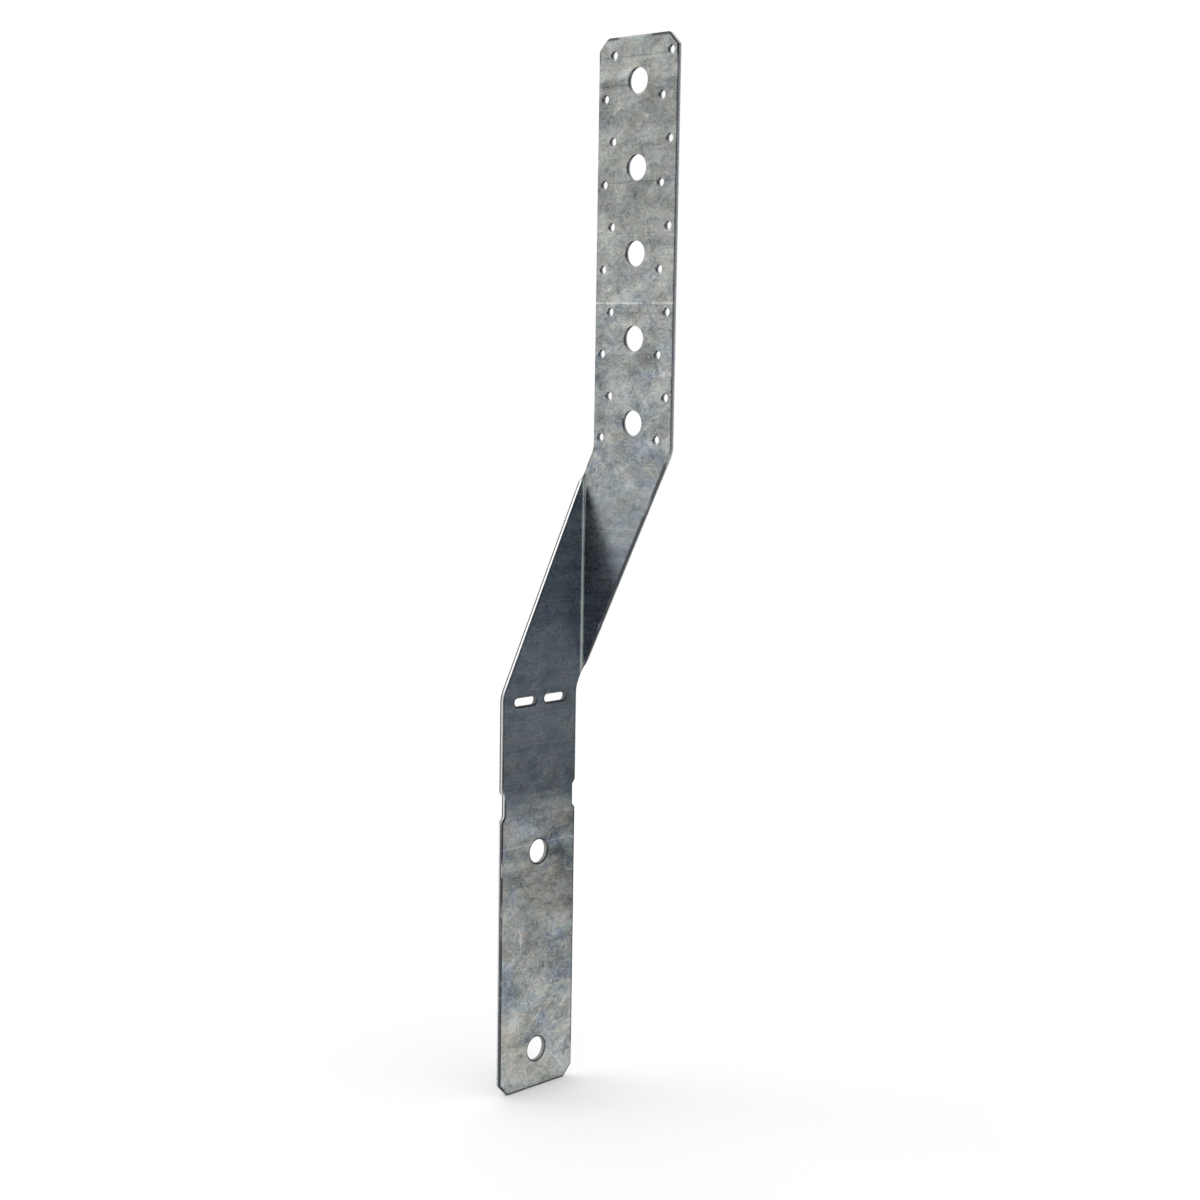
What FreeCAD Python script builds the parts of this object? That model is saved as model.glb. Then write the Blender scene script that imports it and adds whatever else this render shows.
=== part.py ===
"""A foundation stud anchor: one galvanised sheet steel strap with a dog-leg and one square fold.

The upper leg lies on a stud and takes bolts and nails. The lower leg is cast into the
foundation. The slanted band between them is folded along a vertical line, so the two legs
stand square to each other.

The strap is drawn about its fold: the inner faces of the legs lie in y = 0 (the stud leg,
which runs towards +X) and in x = 0 (the anchor leg, which runs towards -Y). The finished
strap is then moved so that its middle bolt hole lies at the origin. Sizes are in millimetres.
"""
import FreeCAD, Part
import math
import os
import Sketcher

# The driving sizes, each written once
SIZES = {
    "sheet_thickness": 2.7,
    "strap_width": 55.6,
    "bend_radius": 2.0,
    "neutral_share": 0.4,
    "stud_leg_setoff": 4.5,
    "anchor_leg_setoff": 1.6,
    "slant_drop": 130.5,
    "corner_radius": 14.0,
    "top_margin": 23.0,
    "bottom_margin": 21.5,
    "end_chamfer": 6.2,
    "bolt_count": 5,
    "bolt_pitch": 44.45,
    "bolt_hole_diameter": 13.5,
    "bolt_to_slant": 14.6,
    "nail_hole_diameter": 4.4,
    "nail_edge_margin": 7.8,
    "nail_stagger": 5.8,
    "nail_row_rise": 13.9,
    "nail_row_gap": 22.2,
    "slant_to_slots": 4.1,
    "slot_count": 2,
    "slot_length": 16.0,
    "slot_width": 4.4,
    "slot_gauge": 22.3,
    "slots_to_notches": 55.6,
    "notch_length": 15.6,
    "notch_depth": 2.0,
    "slots_to_anchor_holes": 83.8,
    "anchor_hole_count": 2,
    "anchor_hole_pitch": 111.1,
    "anchor_hole_diameter": 13.0,
}

# The sizes that follow from them, each after the ones that it needs
DERIVED = {
    # Across the stud leg, in X, and across the anchor leg, in Y
    "stud_near_edge": "Sizes.bend_radius + Sizes.stud_leg_setoff",
    "stud_near_shoulder": "Layout.stud_near_edge + Sizes.end_chamfer",
    "stud_axis": "Layout.stud_near_edge + Sizes.strap_width / 2",
    "stud_far_edge": "Layout.stud_near_edge + Sizes.strap_width",
    "stud_far_shoulder": "Layout.stud_far_edge - Sizes.end_chamfer",
    "anchor_fold_end": "-Sizes.bend_radius",
    "anchor_near_edge": "Layout.anchor_fold_end - Sizes.anchor_leg_setoff",
    "anchor_near_shoulder": "Layout.anchor_near_edge - Sizes.end_chamfer",
    "anchor_axis": "Layout.anchor_near_edge - Sizes.strap_width / 2",
    "anchor_far_edge": "Layout.anchor_near_edge - Sizes.strap_width",
    "anchor_far_shoulder": "Layout.anchor_far_edge + Sizes.end_chamfer",
    # Down the strap, in Z
    "bolt_run": "Sizes.bolt_pitch * (Sizes.bolt_count - 1)",
    "first_bolt": "Layout.bolt_run / 2",
    "first_nail_row": "Layout.first_bolt + Sizes.nail_row_rise",
    "second_nail_row": "Layout.first_nail_row - Sizes.nail_row_gap",
    "top_end": "Layout.first_bolt + Sizes.top_margin",
    "top_shoulder": "Layout.top_end - Sizes.end_chamfer",
    "slant_top": "-Layout.first_bolt - Sizes.bolt_to_slant",
    "slant_foot": "Layout.slant_top - Sizes.slant_drop",
    "slot_row": "Layout.slant_foot - Sizes.slant_to_slots",
    "notch_row": "Layout.slot_row - Sizes.slots_to_notches",
    "first_anchor_hole": "Layout.slot_row - Sizes.slots_to_anchor_holes",
    "anchor_hole_run": "Sizes.anchor_hole_pitch * (Sizes.anchor_hole_count - 1)",
    "last_anchor_hole": "Layout.first_anchor_hole - Layout.anchor_hole_run",
    "bottom_end": "Layout.last_anchor_hole - Sizes.bottom_margin",
    "bottom_shoulder": "Layout.bottom_end + Sizes.end_chamfer",
    # The fold, whose length is that of the layer which neither stretches nor shortens
    "outer_radius": "Sizes.bend_radius + Sizes.sheet_thickness",
    "neutral_radius": "Sizes.bend_radius + Sizes.neutral_share * Sizes.sheet_thickness",
    "fold_length": "pi / 2 * Layout.neutral_radius",
    "setoffs": "Sizes.stud_leg_setoff + Sizes.anchor_leg_setoff",
    "slope": "Sizes.slant_drop / (Layout.setoffs + Layout.fold_length + Sizes.strap_width)",
    "fold_drop": "Layout.slope * Layout.fold_length",
    # The slanted band's two edges where it enters the fold and where it leaves it
    "upper_before_fold": "Layout.slant_top - Layout.slope * Sizes.stud_leg_setoff",
    "lower_before_fold": "Layout.upper_before_fold - Layout.slope * Sizes.strap_width",
    "upper_after_fold": "Layout.upper_before_fold - Layout.fold_drop",
    "lower_after_fold": "Layout.lower_before_fold - Layout.fold_drop",
    # A corner's rounding ends before the fold begins, so a short setoff makes it smaller
    "slant_stretch": "sqrt(1 + Layout.slope ^ 2)",
    "corner_room": "0.99 * Layout.slant_stretch / (Layout.slant_stretch - Layout.slope)",
    "stud_corner": "min(Sizes.corner_radius; Sizes.stud_leg_setoff * Layout.corner_room)",
    "anchor_corner": "min(Sizes.corner_radius; Sizes.anchor_leg_setoff * Layout.corner_room)",
    # Half sizes of the nail pairs, a slot and a notch, each drawn about its own middle
    "nail_reach": "Sizes.strap_width / 2 - Sizes.nail_edge_margin",
    "outer_nail_axis": "Layout.stud_axis + Sizes.nail_stagger / 2",
    "inner_nail_axis": "Layout.stud_axis - Sizes.nail_stagger / 2",
    "slot_end_radius": "Sizes.slot_width / 2",
    "slot_straight": "(Sizes.slot_length - Sizes.slot_width) / 2",
    "slot_run": "Sizes.slot_gauge * (Sizes.slot_count - 1)",
    "first_slot_axis": "Layout.anchor_axis - Layout.slot_run / 2",
    "notch_floor": "Sizes.strap_width / 2 - Sizes.notch_depth",
    "notch_outside": "Sizes.strap_width / 2 + Sizes.notch_depth",
    "notch_floor_half": "Sizes.notch_length / 2 - Sizes.notch_depth",
    "notch_outside_half": "Sizes.notch_length / 2 + Sizes.notch_depth",
}

# How a sketch counts a line's or an arc's points, and its own origin and across axis
START, END, CENTRE = range(1, 4)
ACROSS_AXIS = -1
ORIGIN = (ACROSS_AXIS, START)

# The legs stand square to each other
QUARTER_TURN = 1 / 4


class Sizes:
    """Reads a size by name, as a number or as a formula. A minus sign before the name turns it."""

    def __init__(self, doc):
        self.sheet = doc.addObject("Spreadsheet::Sheet", "Sizes")
        for row, (name, value) in enumerate(SIZES.items(), start=1):
            self.sheet.set(f"A{row}", name)
            self.sheet.set(f"B{row}", str(value))
            self.sheet.setAlias(f"B{row}", name)
        self.layout = doc.addObject("App::VarSet", "Layout")
        doc.recompute()
        for name, formula in DERIVED.items():
            self.layout.addProperty("App::PropertyFloat", name)
            self.layout.setExpression(name, formula)
            doc.recompute()

    def number(self, name):
        if name.startswith("-"):
            return -self.number(name[1:])
        if name in SIZES:
            return self.sheet.get(name)
        return getattr(self.layout, name)

    def formula(self, name):
        if name.startswith("-"):
            return f"-{self.formula(name[1:])}"
        holder = "Sizes" if name in SIZES else "Layout"
        return f"{holder}.{name}"

    def point(self, across, height):
        return FreeCAD.Vector(self.number(across), self.number(height), 0)


def new_sketch(body, sizes, name, plane, across=None, height=None, out=None):
    """A sketch on one of the strap's origin planes, its own origin set off by the named sizes."""
    sketch = body.newObject("Sketcher::SketchObject", name)
    support = [feature for feature in body.Origin.OriginFeatures if feature.Role == plane]
    sketch.AttachmentSupport = [(support[0], "")]
    sketch.MapMode = "FlatFace"
    for direction, size in (("x", across), ("y", height), ("z", out)):
        if size:
            sketch.setExpression(f"AttachmentOffset.Base.{direction}", sizes.formula(size))
    return sketch


def measure(sketch, sizes, kind, size, *where):
    """Add one measured constraint that follows a named size."""
    index = sketch.addConstraint(Sketcher.Constraint(kind, *where, sizes.number(size)))
    sketch.setExpression(f"Constraints[{index}]", sizes.formula(size))


def pin_point(sketch, sizes, point, across, height):
    """Hold a point at two measured distances from the sketch's origin."""
    measure(sketch, sizes, "DistanceX", across, *ORIGIN, *point)
    measure(sketch, sizes, "DistanceY", height, *ORIGIN, *point)


def rounding(corner, back, ahead, radius):
    """The arc of this radius that touches both sides of a corner, and where it touches them."""
    to_back = (back - corner).normalize()
    to_ahead = (ahead - corner).normalize()
    half_angle = to_back.getAngle(to_ahead) / 2
    touch = radius / math.tan(half_angle)
    to_middle = (to_back + to_ahead).normalize()
    summit = corner + to_middle * (radius / math.sin(half_angle) - radius)
    first = corner + to_back * touch
    last = corner + to_ahead * touch
    return Part.Arc(first, summit, last), first, last


def draw_outline(sketch, sizes, corners):
    """Draw a closed outline. Each corner is its across and height sizes, and maybe its radius."""
    places = [sizes.point(*corner[:2]) for corner in corners]
    arcs = []
    for index, corner in enumerate(corners):
        back = places[index - 1]
        ahead = places[(index + 1) % len(places)]
        if len(corner) == 3:
            arcs.append(rounding(places[index], back, ahead, sizes.number(corner[2])))
        else:
            arcs.append((None, places[index], places[index]))
    lines = []
    for index in range(len(corners)):
        leaves = arcs[index][2]
        arrives = arcs[(index + 1) % len(arcs)][1]
        lines.append(sketch.addGeometry(Part.LineSegment(leaves, arrives)))
    for index, corner in enumerate(corners):
        before = lines[index - 1]
        after = lines[index]
        curve, first, last = arcs[index]
        if curve is None:
            sketch.addConstraint(Sketcher.Constraint("Coincident", before, END, after, START))
            pin_point(sketch, sizes, (after, START), *corner)
            continue
        arc = sketch.addGeometry(curve)
        turns_left = sketch.getPoint(arc, START).isEqual(first, 1e-6)
        ends = (START, END) if turns_left else (END, START)
        sketch.addConstraint(Sketcher.Constraint("Tangent", before, END, arc, ends[0]))
        sketch.addConstraint(Sketcher.Constraint("Tangent", after, START, arc, ends[1]))
        measure(sketch, sizes, "Radius", corner[2], arc)
        tip = sketch.addGeometry(Part.Point(places[index]), True)
        sketch.addConstraint(Sketcher.Constraint("PointOnObject", tip, START, before))
        sketch.addConstraint(Sketcher.Constraint("PointOnObject", tip, START, after))
        pin_point(sketch, sizes, (tip, START), *corner[:2])


def draw_hole(sketch, sizes, diameter):
    """Draw one round hole at the sketch's origin."""
    circle = Part.Circle(FreeCAD.Vector(), FreeCAD.Vector(0, 0, 1), sizes.number(diameter) / 2)
    hole = sketch.addGeometry(circle)
    sketch.addConstraint(Sketcher.Constraint("Coincident", hole, CENTRE, *ORIGIN))
    measure(sketch, sizes, "Diameter", diameter, hole)


def draw_nail_pair(sketch, sizes):
    """Draw the two nail holes of one row, the same distance to each side of the sketch's origin."""
    for reach in ("-nail_reach", "nail_reach"):
        middle = FreeCAD.Vector(sizes.number(reach), 0, 0)
        radius = sizes.number("nail_hole_diameter") / 2
        hole = sketch.addGeometry(Part.Circle(middle, FreeCAD.Vector(0, 0, 1), radius))
        sketch.addConstraint(Sketcher.Constraint("PointOnObject", hole, CENTRE, ACROSS_AXIS))
        measure(sketch, sizes, "DistanceX", reach, *ORIGIN, hole, CENTRE)
        measure(sketch, sizes, "Diameter", "nail_hole_diameter", hole)


def draw_slot(sketch, sizes):
    """Draw a slot with round ends, lying across the leg about the sketch's origin."""
    half = sizes.number("slot_straight")
    radius = sizes.number("slot_end_radius")
    corners = [
        FreeCAD.Vector(-half, -radius, 0),
        FreeCAD.Vector(half, -radius, 0),
        FreeCAD.Vector(half, radius, 0),
        FreeCAD.Vector(-half, radius, 0),
    ]
    lower = sketch.addGeometry(Part.LineSegment(corners[0], corners[1]))
    upper = sketch.addGeometry(Part.LineSegment(corners[2], corners[3]))
    right_tip = FreeCAD.Vector(half + radius, 0, 0)
    left_tip = FreeCAD.Vector(-half - radius, 0, 0)
    right = sketch.addGeometry(Part.Arc(corners[1], right_tip, corners[2]))
    left = sketch.addGeometry(Part.Arc(corners[3], left_tip, corners[0]))
    for line, line_end, arc, arc_end in (
        (lower, END, right, START),
        (upper, START, right, END),
        (upper, END, left, START),
        (lower, START, left, END),
    ):
        sketch.addConstraint(Sketcher.Constraint("Tangent", line, line_end, arc, arc_end))
    sketch.addConstraint(Sketcher.Constraint("Equal", left, right))
    measure(sketch, sizes, "Radius", "slot_end_radius", right)
    for arc, reach in ((right, "slot_straight"), (left, "-slot_straight")):
        sketch.addConstraint(Sketcher.Constraint("PointOnObject", arc, CENTRE, ACROSS_AXIS))
        measure(sketch, sizes, "DistanceX", reach, *ORIGIN, arc, CENTRE)


def add_leg(body, sizes, name, plane, corners):
    """Raise a leg's outline to the sheet's thickness, behind its inner face."""
    sketch = new_sketch(body, sizes, f"{name}_outline", plane)
    draw_outline(sketch, sizes, corners)
    leg = body.newObject("PartDesign::Pad", name)
    leg.Profile = sketch
    leg.setExpression("Length", sizes.formula("sheet_thickness"))
    leg.Reversed = True
    body.Tip = leg
    return leg


def add_fold(body, sizes):
    """Turn the slanted band's cross-section a quarter round, sinking as its cut edges do.

    The band's edges are straight while the strap is flat. Folded about an upright line they
    become helices of the same slope, so the fold is a helical sweep of an upright rectangle.
    """
    near, out = "anchor_fold_end", "bend_radius"
    sketch = new_sketch(body, sizes, "fold_section", "YZ_Plane", across=near, out=out)
    corners = [
        ("bend_radius", "lower_before_fold"),
        ("outer_radius", "lower_before_fold"),
        ("outer_radius", "upper_before_fold"),
        ("bend_radius", "upper_before_fold"),
    ]
    draw_outline(sketch, sizes, corners)
    fold = body.newObject("PartDesign::AdditiveHelix", "fold")
    fold.Profile = sketch
    fold.ReferenceAxis = (sketch, ["V_Axis"])
    fold.Mode = "height-turns-angle"
    fold.setExpression("Height", sizes.formula("fold_drop"))
    fold.Turns = QUARTER_TURN
    fold.LeftHanded = True
    fold.Reversed = True
    body.Tip = fold
    return fold


def cut_through(body, sketch, name):
    """Punch a sketch's outlines through the sheet."""
    cut = body.newObject("PartDesign::Pocket", name)
    cut.Profile = sketch
    cut.Type = "ThroughAll"
    body.Tip = cut
    return cut


def repeat(body, sizes, name, feature, axis, count, pitch, reverse=False):
    """Repeat a cut in a row along one of its own sketch's axes."""
    row = body.newObject("PartDesign::LinearPattern", name)
    row.Originals = [feature]
    row.Direction = (feature.Profile[0], [axis])
    row.Mode = "Spacing"
    row.setExpression("Offset", sizes.formula(pitch))
    row.setExpression("Occurrences", sizes.formula(count))
    row.Reversed = reverse
    body.Tip = row
    return row


def punch_stud_leg(body, sizes):
    """The bolt holes down the middle and the staggered rows of nail holes beside them."""
    sketch = new_sketch(body, sizes, "bolt_hole_outline", "XZ_Plane", "stud_axis", "first_bolt")
    draw_hole(sketch, sizes, "bolt_hole_diameter")
    hole = cut_through(body, sketch, "bolt_hole")
    row = repeat(body, sizes, "bolt_holes", hole, "V_Axis", "bolt_count", "bolt_pitch", True)
    cuts = [hole, row]
    for side, axis, height in (
        ("outer", "outer_nail_axis", "first_nail_row"),
        ("inner", "inner_nail_axis", "second_nail_row"),
    ):
        sketch = new_sketch(body, sizes, f"{side}_nail_outline", "XZ_Plane", axis, height)
        draw_nail_pair(sketch, sizes)
        pair = cut_through(body, sketch, f"{side}_nail_pair")
        rows = f"{side}_nail_rows"
        row = repeat(body, sizes, rows, pair, "V_Axis", "bolt_count", "bolt_pitch", True)
        cuts.extend([pair, row])
    return cuts


def punch_anchor_leg(body, sizes):
    """The two slots under the slant, the notches in both edges and the two holes in line."""
    sketch = new_sketch(body, sizes, "slot_outline", "YZ_Plane", "first_slot_axis", "slot_row")
    draw_slot(sketch, sizes)
    slot = cut_through(body, sketch, "slot")
    cuts = [slot, repeat(body, sizes, "slots", slot, "H_Axis", "slot_count", "slot_gauge")]

    sketch = new_sketch(body, sizes, "notch_outline", "YZ_Plane", "anchor_axis", "notch_row")
    corners = [
        ("notch_floor", "-notch_floor_half"),
        ("notch_outside", "-notch_outside_half"),
        ("notch_outside", "notch_outside_half"),
        ("notch_floor", "notch_floor_half"),
    ]
    draw_outline(sketch, sizes, corners)
    notch = cut_through(body, sketch, "notch")
    pair = body.newObject("PartDesign::Mirrored", "notches")
    pair.Originals = [notch]
    pair.MirrorPlane = (sketch, ["V_Axis"])
    body.Tip = pair
    cuts.extend([notch, pair])

    sketch = new_sketch(body, sizes, "anchor_hole_outline", "YZ_Plane", "anchor_axis", "first_anchor_hole")
    draw_hole(sketch, sizes, "anchor_hole_diameter")
    hole = cut_through(body, sketch, "anchor_hole")
    count, pitch = "anchor_hole_count", "anchor_hole_pitch"
    row = repeat(body, sizes, "anchor_holes", hole, "V_Axis", count, pitch, True)
    cuts.extend([hole, row])
    return cuts


def make_strap(doc, sizes):
    """The whole anchor: two legs, the fold that joins them, and what is punched through them."""
    body = doc.addObject("PartDesign::Body", "anchor_strap")
    body.Label = "anchor_strap"
    stud_outline = [
        ("bend_radius", "lower_before_fold"),
        ("stud_far_edge", "slant_top", "stud_corner"),
        ("stud_far_edge", "top_shoulder"),
        ("stud_far_shoulder", "top_end"),
        ("stud_near_shoulder", "top_end"),
        ("stud_near_edge", "top_shoulder"),
        ("stud_near_edge", "slant_top", "stud_corner"),
        ("bend_radius", "upper_before_fold"),
    ]
    anchor_outline = [
        ("anchor_fold_end", "upper_after_fold"),
        ("anchor_far_edge", "slant_foot", "anchor_corner"),
        ("anchor_far_edge", "bottom_shoulder"),
        ("anchor_far_shoulder", "bottom_end"),
        ("anchor_near_shoulder", "bottom_end"),
        ("anchor_near_edge", "bottom_shoulder"),
        ("anchor_near_edge", "slant_foot", "anchor_corner"),
        ("anchor_fold_end", "lower_after_fold"),
    ]
    added = [add_leg(body, sizes, "stud_leg", "XZ_Plane", stud_outline)]
    added.append(add_fold(body, sizes))
    added.append(add_leg(body, sizes, "anchor_leg", "YZ_Plane", anchor_outline))
    cuts = punch_stud_leg(body, sizes) + punch_anchor_leg(body, sizes)
    body.setExpression("Placement.Base.x", sizes.formula("-stud_axis"))
    doc.recompute()
    check_steps(added, cuts)
    return body


def check_steps(added, cuts):
    """Stop if a feature that should add or take away steel doesn't."""
    volume = 0.0
    for feature in added + cuts:
        grows = feature in added
        change = feature.Shape.Volume - volume
        if (change > 0) != grows:
            raise RuntimeError(f"{feature.Label} changes the volume by {change:.3f} mm3")
        volume = feature.Shape.Volume
        print(f"{feature.Label:18s} volume {volume:10.2f} mm3, change {change:+10.2f}")


def check_document(doc, bodies):
    """Stop if any object failed, or a sub-part's shape isn't one sound solid."""
    for item in doc.Objects:
        if "Invalid" in item.State or "Error" in item.State:
            raise RuntimeError(f"{item.Label} failed: {item.State}")
        if item.isDerivedFrom("Sketcher::SketchObject") and item.solve() != 0:
            raise RuntimeError(f"{item.Label} has no solution")
    for body in bodies:
        if body.Shape.isNull() or not body.Shape.isValid() or len(body.Shape.Solids) != 1:
            raise RuntimeError(f"{body.Label} isn't one valid solid")


def main():
    doc = FreeCAD.newDocument("foundation_stud_anchor")
    sizes = Sizes(doc)
    bodies = [make_strap(doc, sizes)]
    check_document(doc, bodies)
    os.makedirs("parts", exist_ok=True)
    for body in bodies:
        body.Shape.exportStep(os.path.join("parts", f"{body.Label}.step"))
        box = body.Shape.BoundBox
        print(f"{body.Label}: {body.Shape.Volume:.1f} mm3, {box}")


main()
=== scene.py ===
# %% [markdown]
# # Foundation stud anchor
#
# A foundation stud anchor is one strap of galvanised sheet steel. Its upper leg is bolted and
# nailed to a stud, its lower leg is cast into the foundation, and one square fold in a slanted
# band turns the legs square to each other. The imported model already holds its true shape, so
# this lesson adds what a drawing can't: the softened rim that a punch leaves, the grey bloom of
# zinc, the torn steel of the cut edges, and the studio round it.
#
# The model is loaded first. Everything is in metres, in the model's own frame.

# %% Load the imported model
import math
import bpy
import numpy as np
from mathutils.geometry import delaunay_2d_cdt
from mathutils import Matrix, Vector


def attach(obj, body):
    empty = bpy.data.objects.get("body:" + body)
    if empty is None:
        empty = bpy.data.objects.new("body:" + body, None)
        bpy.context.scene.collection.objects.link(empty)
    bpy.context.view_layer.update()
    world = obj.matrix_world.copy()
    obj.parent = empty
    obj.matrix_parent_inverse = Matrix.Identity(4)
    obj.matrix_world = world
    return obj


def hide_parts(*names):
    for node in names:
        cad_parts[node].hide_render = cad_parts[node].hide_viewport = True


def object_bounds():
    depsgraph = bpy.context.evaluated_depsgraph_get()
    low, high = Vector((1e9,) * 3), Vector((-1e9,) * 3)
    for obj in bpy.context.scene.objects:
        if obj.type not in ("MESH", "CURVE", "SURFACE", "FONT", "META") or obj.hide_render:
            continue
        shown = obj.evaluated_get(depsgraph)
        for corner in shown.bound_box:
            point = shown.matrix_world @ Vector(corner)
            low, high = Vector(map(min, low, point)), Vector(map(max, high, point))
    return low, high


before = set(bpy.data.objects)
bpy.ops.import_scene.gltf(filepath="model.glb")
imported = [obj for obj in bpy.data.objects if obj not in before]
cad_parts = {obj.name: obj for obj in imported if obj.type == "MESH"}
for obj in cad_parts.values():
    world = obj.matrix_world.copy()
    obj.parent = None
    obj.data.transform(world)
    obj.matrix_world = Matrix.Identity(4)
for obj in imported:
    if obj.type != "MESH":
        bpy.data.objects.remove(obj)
CAD_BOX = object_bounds()
MM = 0.001
print("nodes:", sorted(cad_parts), "box:", [[round(c, 4) for c in p] for p in CAD_BOX])

# %% [markdown]
# ## The camera
#
# The photograph was taken from a little over a metre away, from the open side of the fold, so
# both legs are seen at nearly 45 degrees. A camera could be aimed by eye, but the strap is full
# of holes at known places, so its angles and distance were worked out from those instead. The
# three axes below are the camera's own, built up from its turn, its tip and its slight roll.

# %% Camera
TURN, TIP, ROLL = (math.radians(a) for a in (43.435, 6.927, 0.925))
AIM = np.array([-34.3, 0.0, -158.9]) * MM
SIDE_STEP, RISE, DISTANCE = 9.639 * MM, -27.389 * MM, 1123.25 * MM
FOCAL_LENGTH_MM, FILM_WIDTH_MM = 61.746, 36.0
NEAREST, FARTHEST = 0.01, 100.0

towards_camera = np.array([math.sin(TURN) * math.cos(TIP), -math.cos(TURN) * math.cos(TIP), math.sin(TIP)])
level_right = np.array([math.cos(TURN), math.sin(TURN), 0.0])
level_up = np.cross(towards_camera, level_right)
camera_right = level_right * math.cos(ROLL) + level_up * math.sin(ROLL)
camera_up = level_up * math.cos(ROLL) - level_right * math.sin(ROLL)
camera_at = AIM + level_right * SIDE_STEP + level_up * RISE + towards_camera * DISTANCE

def put(name, data, axes, at):
    """Adds an object to the scene, with its three axes and its place as the columns of its matrix."""
    made = bpy.data.objects.new(name, data)
    columns = np.eye(4)
    columns[:3] = np.column_stack([*axes, at])
    made.matrix_world = columns.T.tolist()
    bpy.context.scene.collection.objects.link(made)
    return made

lens = bpy.data.cameras.new("camera")
lens.lens, lens.sensor_width, lens.sensor_fit = FOCAL_LENGTH_MM, FILM_WIDTH_MM, "HORIZONTAL"
lens.clip_start, lens.clip_end = NEAREST, FARTHEST
camera = put("camera", lens, (camera_right, camera_up, towards_camera), camera_at)
bpy.context.scene.camera = camera
print("camera at", camera_at.round(3))

# %% [markdown]
# ## Reading the blank off the model
#
# The real strap starts as a flat blank that is punched and then folded. This lesson does the
# same, because a mesh that is laid out flat gets even triangles, clean rims and zinc patterns
# that run round the fold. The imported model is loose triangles, so points that round to the same
# place are first taken as one.

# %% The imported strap's points and triangles
MERGE_DISTANCE = 0.001 * MM

def read(items, name, width, kind=np.float32):
    """One property of all a mesh's points or corners, as rows of numbers."""
    values = np.empty(len(items) * width, dtype=kind)
    items.foreach_get(name, values)
    return values.reshape(-1, width).astype(float if kind is np.float32 else int)

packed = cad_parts["anchor_strap"].data
loose = read(packed.vertices, "co", 3)
rounded = (loose / MERGE_DISTANCE).round()
_, kept, joined = np.unique(rounded, axis=0, return_index=True, return_inverse=True)
strap_points = loose[kept]
strap_triangles = joined.reshape(-1)[read(packed.loops, "vertex_index", 1, np.int32)].reshape(-1, 3)
print("points:", len(strap_points), "triangles:", len(strap_triangles))

# %% [markdown]
# Each place on the strap has a place on the blank: how far across, how far along, and how deep
# in the sheet. On the upper leg, across is x. In the bend it is the angle round the bend times
# the radius of the layer that keeps its length, and on the lower leg it goes on along y. The
# depth runs from 0 on the side that the fold closes on to the full thickness on the other.

# %% From the strap to the blank
SHEET, KEPT_LAYER = 2.7 * MM, 0.4
BEND_X, BEND_Y, BEND_INSIDE = -32.3 * MM, -2.0 * MM, 2.0 * MM
BEND_LAYER = BEND_INSIDE + KEPT_LAYER * SHEET
QUARTER = math.pi / 2

def unfold(points):
    """Across, along and depth of each point of the strap."""
    left, ahead = BEND_X - points[:, 0], points[:, 1] - BEND_Y
    angle = np.clip(np.arctan2(left, ahead), 0, QUARTER)
    across = BEND_X - BEND_LAYER * angle + np.clip(-left, 0, None) - np.clip(-ahead, 0, None)
    radius = np.where(left <= 0, ahead, np.where(ahead <= 0, left, np.hypot(left, ahead)))
    return np.column_stack([across, points[:, 2], radius - BEND_INSIDE])

flat_points = unfold(strap_points)
print("blank:", ((flat_points.max(0) - flat_points.min(0)) / MM).round(2), "mm across, along and deep")

# %% [markdown]
# The outlines of the blank and of its holes are the edges that only one triangle of the visible
# side has. Each triangle's edges run anticlockwise, so the metal is always on the left of an
# outline, round the strap and round its holes alike.

# %% Outlines of the blank
SAME_DEPTH = 0.01 * MM
visible = (np.abs(flat_points[:, 2]) < SAME_DEPTH)[strap_triangles].all(1)
edges = strap_triangles[visible][:, [[0, 1], [1, 2], [2, 0]]].reshape(-1, 2)
one_way, other_way = edges @ [len(strap_points), 1], edges @ [1, len(strap_points)]
edges = edges[~np.isin(one_way, other_way)]
edges = edges[np.argsort(edges[:, 0])]
following = np.searchsorted(edges[:, 0], edges[:, 1])
leading = np.argsort(following)
print("outline edges:", len(edges))

# %% [markdown]
# A press leaves no perfect corner, so each sharp one is cut back a little at both sides, and
# long straight stretches get points in between, so that the sheet can wave slightly later. Each
# point also gets the direction into the metal, which is the outline's own turned a quarter left.

# %% Points along the outlines
CORNER_CUT, SHARP_TURN, OUTLINE_STEP = 0.6 * MM, math.radians(15), 3.0 * MM
begin, stop = flat_points[edges[:, 0], :2], flat_points[edges[:, 1], :2]
length = np.linalg.norm(stop - begin, axis=1)
ahead = (stop - begin) / length[:, None]
turn = np.arccos(np.clip((ahead * ahead[leading]).sum(1), -1, 1))
sharp = turn > SHARP_TURN
cut_start, cut_end = sharp * CORNER_CUT, sharp[following] * CORNER_CUT
runs = np.ceil((length - cut_start - cut_end) / OUTLINE_STEP).astype(int)
counts = runs + sharp[following]
edge_of = np.repeat(np.arange(len(edges)), counts)
first = np.cumsum(counts) - counts
step_in = np.arange(counts.sum()) - first[edge_of]
share = step_in / runs[edge_of]
reach = cut_start[edge_of] + share * (length - cut_start - cut_end)[edge_of]
outline = begin[edge_of] + ahead[edge_of] * reach[:, None]
following_point = np.arange(len(outline)) + 1
last = first + counts - 1
following_point[last] = first[following]
inward = ahead[edge_of] @ np.array([[0, 1], [-1, 0]])
smooth_start = (step_in == 0) & ~sharp[edge_of]
inward[smooth_start] += inward[last[leading[edge_of[smooth_start]]]]
inward /= np.linalg.norm(inward, axis=1)[:, None]
print("outline points:", len(outline), "sharp corners:", int(sharp.sum()))

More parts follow.
